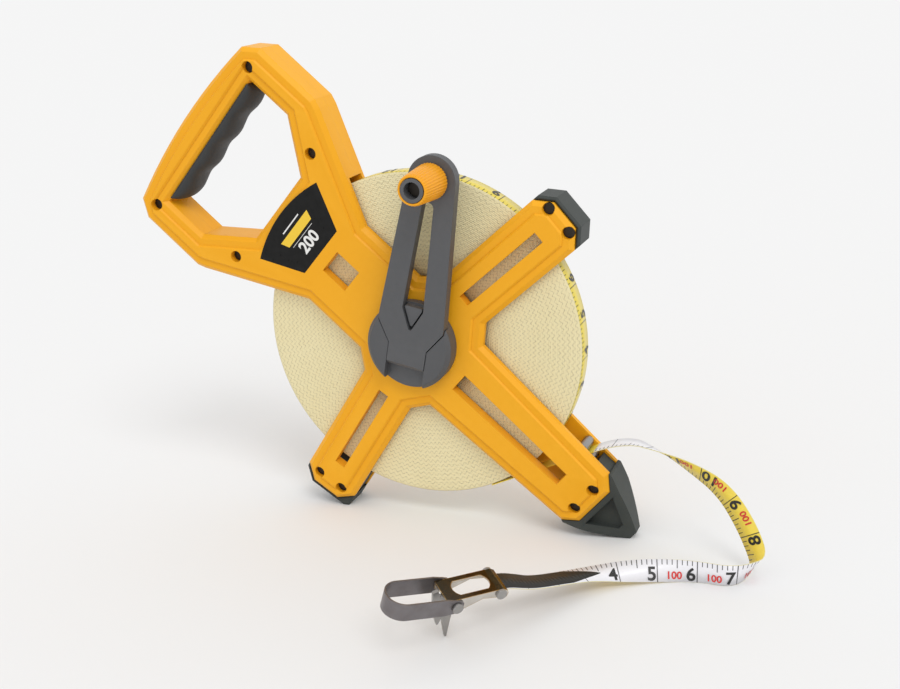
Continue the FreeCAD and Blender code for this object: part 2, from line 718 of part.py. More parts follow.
hub_low = s.half_depth + s.hub_gap
hub_top = hub_low + s.hub_high
rear_low = -hub_low - s.rear_cap_high
axle_end = hub_low + 3
screw_core = Size(2, "2")
axle = rod("axle", s.axle_radius, rear_low + 1.5, axle_end)
axle_hole = new_sketch(axle, axle_end)
draw_circle(axle_hole, (0, 0), screw_core)
pocket(axle, axle_hole, Size(9, "9"))
tube("front_bush", s.bush_radius, s.axle_radius + s.running_fit, s.plate_inner, s.half_depth)
tube("rear_bush", s.bush_radius, s.axle_radius + s.running_fit, -s.half_depth, -s.plate_inner)
tube("spool_core", s.core_radius, s.axle_radius, -s.core_half, s.core_half)
tube("tape_roll", s.roll_radius, s.core_radius, -s.tape_width / 2, s.tape_width / 2)
tube("rear_retainer", s.rear_cap_radius, s.axle_radius, rear_low, -hub_low)

# ---------------------------------------------------------------- hub disc, crank and knob

# drawn with the crank arm along +X, and turned to its rest angle when placed
arm_low = hub_low + s.hub_floor + 0.3
arm_high = arm_low + s.crank_thick
pin_level = arm_low + s.crank_thick / 2

hub = new_body("crank_hub")
hub_sketch = new_sketch(hub, hub_low)
draw_circle(hub_sketch, (0, 0), s.hub_radius)
hub_pad = pad(hub, hub_sketch, s.hub_high)
bevel_faces(hub, hub_pad, s.hub_bevel, facing(hub_top, 1))
channel = new_sketch(hub, hub_top)
cheek = s.crank_tail_half + s.crank_side_gap
shoulder = s.crank_wide + s.crank_side_gap
rim = s.hub_radius + 1
draw_corners(channel, [(-rim, -cheek), (0.6 - s.crank_side_gap, -cheek),
                       (s.crank_shoulder - 2.5, -shoulder), (rim, -shoulder), (rim, shoulder),
                       (s.crank_shoulder - 2.5, shoulder), (0.6 - s.crank_side_gap, cheek), (-rim, cheek)])
pocket(hub, channel, s.hub_high - s.hub_floor)
tongue = new_sketch(hub, hub_low + s.hub_floor - 1)
draw_corners(tongue, [(s.fork_start + 2.2, -0.6), (s.fork_wide_at, -s.fork_wide + 1.2),
                      (s.hub_radius - 1.2, -s.fork_wide + 1.3), (s.hub_radius - 1.2, s.fork_wide - 1.3),
                      (s.fork_wide_at, s.fork_wide - 1.2), (s.fork_start + 2.2, 0.6)])
pad(hub, tongue, s.crank_thick)
socket = new_sketch(hub, hub_low)
draw_circle(socket, (0, 0), s.axle_radius)
pocket(hub, socket, axle_end - hub_low, upwards=True)
hub_well = new_sketch(hub, hub_low + s.hub_floor)
draw_circle(hub_well, (0, 0), Size(4, "4"))
pocket(hub, hub_well, hub_low + s.hub_floor - axle_end)
pin_bore = new_sketch(hub, 0, "XZ_Plane")
draw_circle(pin_bore, (-s.hinge_back, pin_level), s.hinge_radius)
pocket(hub, pin_bore, (cheek + 4) * 2, both_ways=True)

arm = new_body("crank_arm")
arm_sketch = new_sketch(arm, arm_low)
draw_corners(arm_sketch, [(-s.crank_tail, -s.crank_tail_half), (0.6, -s.crank_tail_half),
                          (s.crank_shoulder - 2, -s.crank_wide), (s.crank_shoulder + 3, -s.crank_wide),
                          (s.crank_radius, -s.crank_tip), (s.crank_radius, s.crank_tip),
                          (s.crank_shoulder + 3, s.crank_wide), (s.crank_shoulder - 2, s.crank_wide),
                          (0.6, s.crank_tail_half), (-s.crank_tail, s.crank_tail_half)],
             {4: s.crank_tip + 0.001})
draw_corners(arm_sketch, [(s.fork_start, -0.8), (s.fork_wide_at, -s.fork_wide),
                          (s.fork_end, -s.fork_narrow), (s.fork_end, s.fork_narrow),
                          (s.fork_wide_at, s.fork_wide), (s.fork_start, 0.8)],
             {2: s.fork_narrow + 0.001})
pad(arm, arm_sketch, s.crank_thick)
# the tail is rounded about the hinge, so it clears the hub's floor when the arm folds
tail_round = new_sketch(arm, 0, "XZ_Plane")
behind = -s.crank_tail - 2
draw_corners(tail_round, [(behind, arm_low - 1), (-s.hinge_back, arm_low - 1), (-s.hinge_back, arm_low),
                          (-s.crank_tail, pin_level - 0.25), (behind, pin_level - 0.25)])
draw_corners(tail_round, [(behind, arm_high - 2), (-s.crank_tail, arm_high - 2),
                          (-s.crank_tail + 2, arm_high), (-s.crank_tail + 2, arm_high + 1),
                          (behind, arm_high + 1)])
pocket(arm, tail_round, s.crank_tail_half * 4, both_ways=True)
arm_bore = new_sketch(arm, 0, "XZ_Plane")
draw_circle(arm_bore, (-s.hinge_back, pin_level), s.hinge_radius + s.running_fit)
pocket(arm, arm_bore, s.crank_tail_half * 4, both_ways=True)

pin = new_body("crank_hinge_pin")
pin_sketch = new_sketch(pin, 0, "XZ_Plane")
draw_circle(pin_sketch, (-s.hinge_back, pin_level), s.hinge_radius)
pad(pin, pin_sketch, (cheek + 4) * 2, both_ways=True)

tip = (s.crank_radius, 0)
hub_screw = rod("hub_screw", Size(4, "4"), axle_end, hub_low + s.hub_floor)
hub_shank = new_sketch(hub_screw, axle_end)
draw_circle(hub_shank, (0, 0), screw_core)
pad(hub_screw, hub_shank, Size(9, "9")).Reversed = True

spindle_top = arm_high + s.spindle_long
spindle = rod("knob_spindle", s.spindle_radius, arm_high, spindle_top, tip)
spindle_hole = new_sketch(spindle, spindle_top)
draw_circle(spindle_hole, tip, screw_core)
pocket(spindle, spindle_hole, Size(10, "10"))
knob_screw = rod("knob_screw", Size(4.2, "4.2"), spindle_top, spindle_top + 2, tip)
knob_shank = new_sketch(knob_screw, spindle_top)
draw_circle(knob_shank, tip, screw_core)
pad(knob_screw, knob_shank, Size(10, "10")).Reversed = True

knob_low = arm_high + s.knob_lift
knob_high = knob_low + s.knob_long
tube("knob_sleeve", s.sleeve_radius, s.spindle_radius + s.running_fit, knob_low, knob_high, tip)
knob_cone = doc.addObject("Part::Cone", "knob_cone")
bind(knob_cone, "Radius1", s.knob_base)
bind(knob_cone, "Radius2", s.knob_front)
bind(knob_cone, "Height", s.knob_long)
bind(knob_cone, ".Placement.Base.x", s.crank_radius)
bind(knob_cone, ".Placement.Base.z", knob_low)
take_away("crank_knob", knob_cone, cylinder("knob_bore", s.sleeve_radius, knob_low, knob_high, tip))

# ---------------------------------------------------------------- hook

# drawn from the rear rivet: +X to the hook's end, +Z out of the plate
inside = s.hook_half - s.hook_sheet
bracket = new_body("hook_bracket")
side_view = new_sketch(bracket, 0, "XZ_Plane")
front_edge = s.rivet_pitch + 5
draw_corners(side_view, [(-3.4, -3.2), (s.rivet_pitch * 0.4, -0.2), (s.rivet_pitch - 4, -3.6),
                         (s.rivet_pitch + 3.2, -3.2), (front_edge, 0), (front_edge, s.hook_top),
                         (2, s.hook_top - 1.1), (-1.5, s.hook_top - 1.4), (-3.8, 1.2), (-4.4, -0.8)])
pad(bracket, side_view, s.hook_half * 2, both_ways=True)
inner_view = new_sketch(bracket, 0, "XZ_Plane")
under = s.hook_top - s.hook_sheet
draw_corners(inner_view, [(-8, -6), (front_edge + 2, -6), (front_edge + 2, under), (2, under - 1.1),
                          (-1, under - 1.4), (-2.4, 1.1), (-8, 1.1)])
pocket(bracket, inner_view, inside * 2, both_ways=True)
window = new_sketch(bracket, s.hook_top)
draw_corners(window, [(6, -5.4), (s.rivet_pitch - 4, -5.4), (s.rivet_pitch - 4, 5.4), (6, 5.4)],
             {1: Size(7, "7"), 3: Size(7, "7")})
pocket(bracket, window, s.hook_sheet + 1.2)
rivet_bores = new_sketch(bracket, 0, "XZ_Plane")
for reach in (0, s.rivet_pitch):
    draw_circle(rivet_bores, (reach, 0), s.rivet_radius)
pocket(bracket, rivet_bores, s.hook_half * 4, both_ways=True)


def make_rivet(node, reach, outside):
    """A rivet across the hook, with a head beyond each outside face."""
    body = new_body(node)
    shank = new_sketch(body, 0, "XZ_Plane")
    draw_circle(shank, (reach, 0), s.rivet_radius)
    pad(body, shank, outside * 2, both_ways=True)
    for side in (1, -1):
        sketch = new_sketch(body, outside * side, "XZ_Plane")
        draw_circle(sketch, (reach, 0), s.rivet_head)
        pad(body, sketch, s.rivet_head_high).Reversed = side < 0


ring_inner = s.hook_half + 0.3
ring_outer = ring_inner + s.hook_sheet
make_rivet("rear_rivet", Size(0, "0"), s.hook_half)
make_rivet("front_rivet", s.rivet_pitch, ring_outer + 0.2)

# the ring and the claw are drawn about the front rivet
hook_ring = new_body("hook_ring")
bend_at = s.ring_reach - ring_outer
for half, cut in ((ring_outer, False), (ring_inner, True)):
    loop = new_sketch(hook_ring)
    start = -8 if cut else -3.6
    draw_corners(loop, [(start, -half), (bend_at, -half), (bend_at, half), (start, half)],
                 {1: half + 0.01})
    if cut:
        pocket(hook_ring, loop, s.ring_width * 2, both_ways=True)
    else:
        pad(hook_ring, loop, s.ring_width, both_ways=True)
# each leg tapers to an eye for the rivet
taper = new_sketch(hook_ring, 0, "XZ_Plane")
high = s.ring_width / 2
eye_side = [(-4.5, 1.5), (-2.2, 3.6), (6, high), (6, high + 1), (-4.5, high + 1)]
draw_corners(taper, eye_side)
draw_corners(taper, mirrored(eye_side))
pocket(hook_ring, taper, ring_outer * 3, both_ways=True)
eye_bore = new_sketch(hook_ring, 0, "XZ_Plane")
draw_circle(eye_bore, (0, 0), s.rivet_radius + s.running_fit)
pocket(hook_ring, eye_bore, ring_outer * 3, both_ways=True)

claw = new_body("hook_claw")
blade = new_sketch(claw, 0, "XZ_Plane")
draw_corners(blade, [(-3.2, 1), (-3.2, -2.5), (-1.8, -10), (0.6, -s.claw_drop), (1.5, -s.claw_drop),
                     (4.2, 4 - s.claw_short), (6, -s.claw_short), (6.9, -s.claw_short),
                     (9.4, -8), (9.8, 5), (6.8, 5.6), (5.6, 1.6), (0, 2.6)])
draw_circle(blade, (0, 0), s.rivet_radius + s.running_fit)
pad(claw, blade, s.claw_half * 2, both_ways=True)


# ---------------------------------------------------------------- standing the reel up

STAND = Placement(Vector(0, 0, s.axle_height.number),
                  Rotation(Vector(0, 1, 0), s.stance_angle.number) * Rotation(Vector(1, 0, 0), 90))
HOOK = Placement(Vector(s.hook_x.number, -s.hook_y.number, s.hook_z.number),
                 Rotation(Vector(0, 0, 1), s.hook_turn.number)
                 * Rotation(Vector(1, 0, 0), -s.hook_roll.number))
TURNED_OVER = Placement(Vector(0, 0, 0), Rotation(Vector(1, 0, 0), 180))
CRANK = Placement(Vector(0, 0, 0), Rotation(Vector(0, 0, 1), s.crank_angle.number))
FRONT_RIVET = Placement(Vector(s.rivet_pitch.number, 0, 0), Rotation())
LIFTED = Placement(Vector(0, 0, 0), Rotation(Vector(0, 1, 0), -s.ring_lift.number))

ON_CRANK = ("crank_hub", "crank_arm", "crank_hinge_pin", "hub_screw", "knob_spindle",
            "knob_screw", "knob_sleeve", "crank_knob")
ON_HOOK = ("hook_bracket", "rear_rivet", "front_rivet")
ON_TAPE = ON_HOOK + ("hook_ring", "hook_claw", "free_tape", "tape_leader")

# the hook and the free tape move out with the mouth
mouth = STAND.multVec(Vector(*(as_size(v).number for v in on_lead(lead_end)), 0))
OUTWARDS = Vector(mouth.x - ROUTE_MOUTH[0], 0, 0)
HOOK.Base = HOOK.Base + OUTWARDS


def own_placement(node):
    """Where a node's own axes go when the reel stands."""
    if node == "rear_frame":
        return STAND * TURNED_OVER
    if node in ON_CRANK:
        return STAND * CRANK
    if node in ON_HOOK:
        return HOOK
    if node == "hook_ring":
        return HOOK * FRONT_RIVET * LIFTED
    if node == "hook_claw":
        return HOOK * FRONT_RIVET
    return STAND


# ---------------------------------------------------------------- free tape

def smooth_curve(points):
    """A clamped quadratic curve that is pulled towards the points."""
    curve = Part.BSplineCurve()
    knots = list(range(len(points) - 1))
    counts = [3] + [1] * (len(points) - 3) + [3]
    curve.buildFromPolesMultsKnots(points, counts, knots, False, 2)
    return curve


def tape_route():
    """Points of the free tape's middle line, and the directions across it."""
    along = STAND.Rotation.multVec(Vector(*(as_size(v).number for v in on_lead(1)), 0)
                                   - Vector(*(as_size(v).number for v in on_lead(0)), 0))
    edge_up = s.tape_width.number / 2
    drop = (mouth.z - edge_up) / (ROUTE_MOUTH[1] - edge_up)
    points = [mouth, mouth + along * 20]
    across = [Vector(0, -1, 0), Vector(0, -1, 0)]
    for place, direction in ROUTE:
        point = Vector(*place) + OUTWARDS
        point.z = edge_up + (point.z * drop if point.z > 12 else point.z)
        points.append(point)
        across.append(Vector(*direction))
    hook_across = HOOK.Rotation.multVec(Vector(0, -1, 0))
    end = HOOK.multVec(Vector(-s.rivet_radius.number - 0.02, 0, 0))
    straight = HOOK.multVec(Vector(-5.5, 0, 0))
    points += [(points[-1] + straight) * 0.5, straight, end]
    across += [hook_across, hook_across, hook_across]
    return points, across


def tape_section(curve, twist, at):
    """The tape's rectangle at a place along the curve."""
    point = curve.value(at)
    tangent = curve.tangent(at)[0]
    wide = twist.value(at)
    wide = (wide - tangent * wide.dot(tangent)).normalize()
    thick = tangent.cross(wide) * (s.tape_thick.number / 2)
    wide = wide * (s.tape_width.number / 2)
    corners = [point + wide + thick, point - wide + thick,
               point - wide - thick, point + wide - thick]
    return Part.makePolygon(corners + corners[:1])


def add_tape(node, curve, twist, start, end):
    """A length of tape between two distances along the curve."""
    steps = max(4, round(TAPE_STEPS * (end - start) / curve.length()))
    places = [curve.parameterAtDistance(start + (end - start) * step / steps)
              for step in range(steps + 1)]
    sections = [tape_section(curve, twist, at) for at in places]
    thing = doc.addObject("Part::Feature", node)
    thing.Shape = Part.makeLoft(sections, True, True)
    thing.Label = node
    parts[node] = thing
    expected = s.tape_width.number * s.tape_thick.number * (end - start)
    print(f"{node}: volume {thing.Shape.Volume:.1f}, section x length {expected:.1f}, "
          f"length {end - start:.1f}")


points, across = tape_route()
tape_curve = smooth_curve(points)
tape_twist = smooth_curve(across)
tape_long = tape_curve.length()
radii = []
for step in range(201):
    bend = tape_curve.curvature(tape_curve.parameterAtDistance(tape_long * step / 200))
    if bend > 0.002:
        radii.append(1 / bend)
print(f"free tape: length {tape_long:.1f}, tightest bend radius {min(radii):.1f}")
add_tape("free_tape", tape_curve, tape_twist, 0, tape_long - LEADER_LONG)
add_tape("tape_leader", tape_curve, tape_twist, tape_long - LEADER_LONG, tape_long)


# ---------------------------------------------------------------- placing, checking, writing

def place_all():
    """Stand the reel up, then move the origin to the middle of its base."""
    doc.recompute()
    for node, thing in parts.items():
        if node not in ("free_tape", "tape_leader"):
            thing.Placement = own_placement(node)
    doc.recompute()
    box = FreeCAD.BoundBox()
    for node, thing in parts.items():
        if node not in ON_TAPE:
            box.add(thing.Shape.optimalBoundingBox(False, False))
    shift = Placement(Vector(-box.Center.x, -box.Center.y, -box.ZMin), Rotation())
    for thing in parts.values():
        thing.Placement = shift * thing.Placement
    doc.recompute()
    print(f"axle on the ground plane at {shift.Base.x:.3f} {shift.Base.y:.3f}, "
          f"height {s.axle_height.number + shift.Base.z:.3f}")
    print(f"box {box.XLength:.2f} {box.YLength:.2f} {box.ZLength:.2f}")
    return shift


def check_all():
    for thing in doc.Objects:
        if "Invalid" in thing.State or "Error" in thing.State:
            raise RuntimeError(f"{thing.Name} did not compute: {thing.State}")
    for node, thing in parts.items():
        if thing.Shape.isNull() or not thing.Shape.isValid() or thing.Shape.Volume <= 0:
            raise RuntimeError(f"{node} is not a valid solid")


def print_axes(shift):
    """The lines that the moving pieces turn about, after the shift."""
    tip_place = Vector(s.crank_radius.number, 0, 0)
    hinge_place = Vector(-s.hinge_back.number, 0, pin_level.number)
    for name, place, spot, line in (
            ("reel", STAND, Vector(0, 0, 0), Vector(0, 0, 1)),
            ("crank_fold", STAND * CRANK, hinge_place, Vector(0, 1, 0)),
            ("knob", STAND * CRANK, tip_place, Vector(0, 0, 1)),
            ("hook_front_rivet", HOOK * FRONT_RIVET, Vector(0, 0, 0), Vector(0, 1, 0))):
        at = shift.multVec(place.multVec(spot))
        way = place.Rotation.multVec(line)
        print(f"{name}: at {at.x:.4f} {at.y:.4f} {at.z:.4f} along {way.x:.6f} {way.y:.6f} {way.z:.6f}")
    for which, centre in ROLLERS.items():
        at = shift.multVec(STAND.multVec(Vector(centre[0].number, centre[1].number, 0)))
        print(f"roller {which}: at {at.x:.4f} {at.y:.4f} {at.z:.4f}")
    for point in points:
        at = shift.multVec(point)
        print(f"route {at.x:.2f} {at.y:.2f} {at.z:.2f}")


shift = place_all()
check_all()
print_axes(shift)
os.makedirs("parts", exist_ok=True)
for node, thing in parts.items():
    thing.Shape.exportStep(f"parts/{node}.step")
print(f"wrote {len(parts)} parts")
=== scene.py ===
"""An open surveyor's tape reel with a yellow moulded frame, a dark folding crank and a
fibreglass tape whose free end lies beside it. Metres, in the reel's own frame."""
import json
import math

import bmesh
import bpy
from mathutils import Matrix, Vector


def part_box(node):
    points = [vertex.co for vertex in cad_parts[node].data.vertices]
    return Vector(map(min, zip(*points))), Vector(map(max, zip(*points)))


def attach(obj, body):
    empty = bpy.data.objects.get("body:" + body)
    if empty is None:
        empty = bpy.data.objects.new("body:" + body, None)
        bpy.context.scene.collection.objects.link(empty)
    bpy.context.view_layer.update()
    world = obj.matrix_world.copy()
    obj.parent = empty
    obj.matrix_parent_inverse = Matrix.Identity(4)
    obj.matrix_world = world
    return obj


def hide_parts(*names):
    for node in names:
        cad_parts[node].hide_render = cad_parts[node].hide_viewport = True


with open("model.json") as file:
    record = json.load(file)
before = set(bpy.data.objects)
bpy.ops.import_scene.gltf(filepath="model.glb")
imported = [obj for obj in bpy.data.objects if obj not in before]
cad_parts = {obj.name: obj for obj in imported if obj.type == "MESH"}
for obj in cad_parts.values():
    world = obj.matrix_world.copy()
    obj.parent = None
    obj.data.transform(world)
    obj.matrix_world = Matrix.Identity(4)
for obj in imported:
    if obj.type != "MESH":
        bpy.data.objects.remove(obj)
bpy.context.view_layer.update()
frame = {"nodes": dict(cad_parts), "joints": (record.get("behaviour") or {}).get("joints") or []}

scene = bpy.context.scene
scene.view_settings.view_transform = "Standard"
joints = {joint["name"]: joint for joint in frame["joints"]}
axle = Vector(joints["reel_spin"]["pos_m"])
under_axle = Vector((axle.x, axle.y, 0))
# +X along the nose arm, +Z along the axle towards the crank, from the middle of the axle
stand = (Matrix.Translation(axle) @ Matrix.Rotation(math.radians(41.5), 4, "Y")
         @ Matrix.Rotation(math.radians(90), 4, "X"))

# ---------------------------------------------------------------- camera
# A 50 mm lens a little above the reel and to its right.
camera = bpy.data.objects.new("camera", bpy.data.cameras.new("camera"))
camera.data.lens = 50.52
camera.data.sensor_width = 36
right = Vector((0.9294, 0.3661, -0.0462))
up = Vector((-0.0751, 0.3101, 0.9477))
back = Vector((0.3613, -0.8774, 0.3157))
camera.matrix_world = (Matrix.Translation(under_axle + Vector((0.2950, -0.6764, 0.3565)))
                       @ Matrix((right, up, back)).transposed().to_4x4())
scene.collection.objects.link(camera)
scene.camera = camera

# ---------------------------------------------------------------- free tape
# Half-inch coated fibreglass, yellow on the face and white on the back, both printed with
# numbered lines and eighths. It leaves the mouth, drops to the ground on edge and rises to the hook.
route = [
    (0.13439, 0.0182, 0.05504), (0.15259, 0.0182, 0.06333), (0.17449, 0.0132, 0.05885),
    (0.19449, 0.0072, 0.0534), (0.21349, 0.0012, 0.04498), (0.22749, -0.0038, 0.02666),
    (0.23649, -0.0088, 0.00685), (0.22549, -0.0283, 0.0066), (0.20249, -0.0263, 0.0066),
    (0.17349, -0.0348, 0.0066), (0.15049, -0.0488, 0.00835), (0.13799, -0.0658, 0.01255),
    (0.12749, -0.0843, 0.01805), (0.1219, -0.09342, 0.02263), (0.11631, -0.10254, 0.0272),
    (0.11362, -0.10533, 0.0272),
]
hook_across = (-0.699, 0.673, 0.242)
across = [
    (0, -1, 0), (0, -1, 0), (0.3, -1, 0.35), (0.65, -0.8, 0.75), (0.9, -0.4, 0.75),
    (0.95, -0.2, 0.6), (0.6, -0.2, 0.8), (0.1, 0, 1), (0, 0, 1), (-0.5, 0.5, 0.8),
    (-0.69, 0.69, 0.2), (-0.7, 0.68, 0.08), (-0.7, 0.68, 0.1), hook_across, hook_across, hook_across,
]


def nurbs_line(points):
    """Points along the smooth curve that the given points pull."""
    curve = bpy.data.curves.new("line", "CURVE")
    curve.dimensions = "3D"
    curve.resolution_u = 20
    spline = curve.splines.new("NURBS")
    spline.points.add(len(points) - 1)
    for pull, point in zip(spline.points, points):
        pull.co = (*point, 1)
    spline.order_u = 3
    spline.use_endpoint_u = True
    guide = bpy.data.objects.new("guide", curve)
    mesh = bpy.data.meshes.new_from_object(guide)
    line = [vertex.co.copy() for vertex in mesh.vertices]
    bpy.data.objects.remove(guide)
    return line


tape_line = nurbs_line(route)
tape_across = nurbs_line(across)
tape_width, tape_thick = 0.0127, 0.0005
tape_at = [0.0]
for here, there in zip(tape_line, tape_line[1:]):
    tape_at.append(tape_at[-1] + (there - here).length)
tape_length = tape_at[-1]


def on_tape(distance):
    """The tape's middle, and its along, across and face directions, at a distance."""
    distance = min(max(distance, 0), tape_length - 1e-6)
    step = max(i for i in range(len(tape_at) - 1) if tape_at[i] <= distance)
    share = (distance - tape_at[step]) / (tape_at[step + 1] - tape_at[step])
    middle = tape_line[step].lerp(tape_line[step + 1], share)
    before, after = max(step - 1, 0), min(step + 2, len(tape_line) - 1)
    along = (tape_line[after] - tape_line[before]).normalized()
    wide = tape_across[step].lerp(tape_across[step + 1], share)
    wide = (wide - along * wide.dot(along)).normalized()
    return middle, along, wide, along.cross(wide)


def new_object(name, mesh, body):
    piece = bpy.data.objects.new(name, mesh)
    scene.collection.objects.link(piece)
    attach(piece, body)
    return piece


def make_ribbon(name, start, end, half, thick, point_long=0.0):
    """A flat strip along the tape; its start can run to a point."""
    bm = bmesh.new()
    uv = bm.loops.layers.uv.new("UVMap")
    rows = []
    count = max(8, int((end - start) / 0.0006))
    for step in range(count + 1):
        distance = start + (end - start) * step / count
        middle, along, wide, face = on_tape(distance)
        share = min(1, (distance - start) / point_long) if point_long else 1
        reach = half * max(0.04, share ** 0.8)
        row = []
        for side, lift in ((-1, 1), (1, 1), (1, -1), (-1, -1)):
            spot = middle + wide * reach * side + face * thick / 2 * lift
            row.append((bm.verts.new(spot), distance, 0.5 + 0.5 * side * reach / half))
        rows.append(row)
    for low_row, high_row in zip(rows, rows[1:]):
        for k, material in ((0, 0), (1, 2), (2, 1), (3, 2)):
            n = (k + 1) % 4
            corners = [low_row[k], low_row[n], high_row[n], high_row[k]]
            quad = bm.faces.new([corner[0] for corner in corners])
            quad.material_index = material
            quad.smooth = material != 2
            for loop, corner in zip(quad.loops, corners):
                loop[uv].uv = (corner[1], corner[2])
    for row in (rows[0], rows[-1]):
        bm.faces.new([corner[0] for corner in row]).material_index = 2
    bmesh.ops.recalc_face_normals(bm, faces=bm.faces)
    mesh = bpy.data.meshes.new(name)
    bm.to_mesh(mesh)
    bm.free()
    return new_object(name, mesh, "frame")


def node_material(name):
    """An empty material with a Principled surface, and a maker of its nodes."""
    material = bpy.data.materials.new(name)
    material.use_nodes = True
    tree = material.node_tree
    surface = tree.nodes["Principled BSDF"]

    def add(kind, inputs=None, **settings):
        node = tree.nodes.new(kind)
        for key, value in settings.items():
            setattr(node, key, value)
        for key, value in (inputs or {}).items():
            if isinstance(value, bpy.types.NodeSocket):
                tree.links.new(value, node.inputs[key])
            else:
                node.inputs[key].default_value = value
        return node

    def math_node(operation, first, second=0.0, third=0.0):
        return add("ShaderNodeMath", {0: first, 1: second, 2: third},
                   operation=operation).outputs[0]

    def mix(share, first, second, blend="MIX"):
        node = add("ShaderNodeMix", data_type="RGBA", blend_type=blend)
        for place, value in ((0, share), (6, first), (7, second)):
            if isinstance(value, bpy.types.NodeSocket):
                tree.links.new(value, node.inputs[place])
            else:
                node.inputs[place].default_value = value
        return node.outputs[2]

    def finish(colour, rough, height=None, depth=0.0001, rounding=0.0005, **constants):
        bevel = add("ShaderNodeBevel", {"Radius": rounding}, samples=4)
        normal = bevel.outputs[0]
        if height is not None:
            bump = add("ShaderNodeBump", {"Distance": depth, "Height": height, "Normal": normal})
            normal = bump.outputs[0]
        tree.links.new(normal, surface.inputs["Normal"])
        for socket, value in (("Base Color", colour), ("Roughness", rough)):
            if isinstance(value, bpy.types.NodeSocket):
                tree.links.new(value, surface.inputs[socket])
            else:
                surface.inputs[socket].default_value = value
        for key, value in constants.items():
            surface.inputs[key.replace("_", " ")].default_value = value
        return material

    return add, math_node, mix, finish


pitch = 0.0222
white_start, yellow_start = 0.0121, 0.0021


def make_print(name, ground, dirt, ticks_at_front, first_line, rough):
    """Printed tape: inch lines right across, and eighths along one edge."""
    add, maths, mix, finish = node_material(name)
    place = add("ShaderNodeUVMap")
    split = add("ShaderNodeSeparateXYZ", {0: place.outputs[0]})
    along, wide = split.outputs[0], split.outputs[1]
    if not ticks_at_front:
        wide = maths("SUBTRACT", 1.0, wide)
    inches = maths("DIVIDE", maths("SUBTRACT", along, first_line), pitch)

    def from_line(per_inch):
        part = maths("FRACT", maths("ADD", maths("MULTIPLY", inches, per_inch), 0.5))
        return maths("ABSOLUTE", maths("SUBTRACT", part, 0.5))

    small = maths("MULTIPLY", maths("LESS_THAN", from_line(8.0), 0.09), maths("GREATER_THAN", wide, 0.77))
    middle = maths("MULTIPLY", maths("LESS_THAN", from_line(2.0), 0.024), maths("GREATER_THAN", wide, 0.62))
    full = maths("LESS_THAN", from_line(1.0), 0.013)
    ink = maths("MAXIMUM", maths("MAXIMUM", small, middle), full)
    spots = add("ShaderNodeTexNoise", {"Scale": 900.0, "Detail": 3.0})
    cloud = add("ShaderNodeTexNoise", {"Scale": 70.0, "Detail": 4.0})
    ground_mix = mix(maths("MULTIPLY", cloud.outputs[0], 0.5), ground, dirt)
    worn = maths("MULTIPLY", ink, maths("ADD", 0.78, maths("MULTIPLY", spots.outputs[0], 0.3)))
    colour = mix(worn, ground_mix, (0.008, 0.008, 0.008, 1))
    roughness = maths("ADD", rough, maths("MULTIPLY", spots.outputs[0], 0.15))
    return finish(colour, roughness, spots.outputs[0], 0.00004, 0.0001, Coat_Weight=0.25)


yellow_print = make_print("tape_yellow", (0.87, 0.68, 0.07, 1), (0.74, 0.52, 0.05, 1), False, yellow_start, 0.3)
white_print = make_print("tape_white", (0.83, 0.82, 0.85, 1), (0.68, 0.67, 0.70, 1), True, white_start, 0.32)
add, maths, mix, finish = node_material("tape_edge")
fibre = add("ShaderNodeTexNoise", {"Scale": 2500.0, "Detail": 2.0})
pale_edge = finish(mix(fibre.outputs[0], (0.62, 0.56, 0.25, 1), (0.75, 0.72, 0.5, 1)), 0.6,
                   fibre.outputs[0], 0.00005, 0.0001)

free_tape = make_ribbon("free_tape_printed", 0, tape_length, tape_width / 2, tape_thick)
for material in (yellow_print, white_print, pale_edge):
    free_tape.data.materials.append(material)
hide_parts("free_tape")

# ---------------------------------------------------------------- printed numerals
# Inch numbers on both faces, and small red marks that stand for the foot signs.
add, maths, mix, finish = node_material("ink_black")
grain = add("ShaderNodeTexNoise", {"Scale": 1500.0})
black_ink = finish(mix(grain.outputs[0], (0.006, 0.006, 0.006, 1), (0.03, 0.03, 0.03, 1)), 0.35,
                   grain.outputs[0], 0.00002, 0.0001)
add, maths, mix, finish = node_material("ink_red")
grain = add("ShaderNodeTexNoise", {"Scale": 1500.0})
red_ink = finish(mix(grain.outputs[0], (0.55, 0.02, 0.02, 1), (0.75, 0.05, 0.04, 1)), 0.35,
                 grain.outputs[0], 0.00002, 0.0001)


def flat_text(name, words):
    """The words as a mesh with short edges, so that it can follow a curved face."""
    holder = bpy.data.objects.new(name, words)
    mesh = bpy.data.meshes.new_from_object(holder)
    bpy.data.objects.remove(holder)
    bm = bmesh.new()
    bm.from_mesh(mesh)
    for cut in range(3):
        long_edges = [edge for edge in bm.edges if edge.calc_length() > 0.0009]
        if long_edges:
            bmesh.ops.subdivide_edges(bm, edges=long_edges, cuts=1)
            bmesh.ops.triangulate(bm, faces=bm.faces)
    bm.to_mesh(mesh)
    bm.free()
    return mesh


def print_mark(name, text, distance, height, size, on_white, ink):
    """Text wrapped on the tape: distance of its right end, height of its foot (0 to 1)."""
    words = bpy.data.curves.new(name, "FONT")
    words.body = text
    words.size = size
    words.offset = size * 0.022
    mesh = flat_text(name, words)
    wide = max(vertex.co.x for vertex in mesh.vertices)
    for vertex in mesh.vertices:
        along_tape = distance + (wide - vertex.co.x)
        middle, along, across_tape, face = on_tape(along_tape)
        rise = (height - 0.5) * tape_width + vertex.co.y
        lift = tape_thick / 2 + 0.00026
        if on_white:
            vertex.co = middle + across_tape * rise - face * lift
        else:
            vertex.co = middle - across_tape * rise + face * lift
    mesh.materials.append(ink)
    return new_object(name, mesh, "frame")


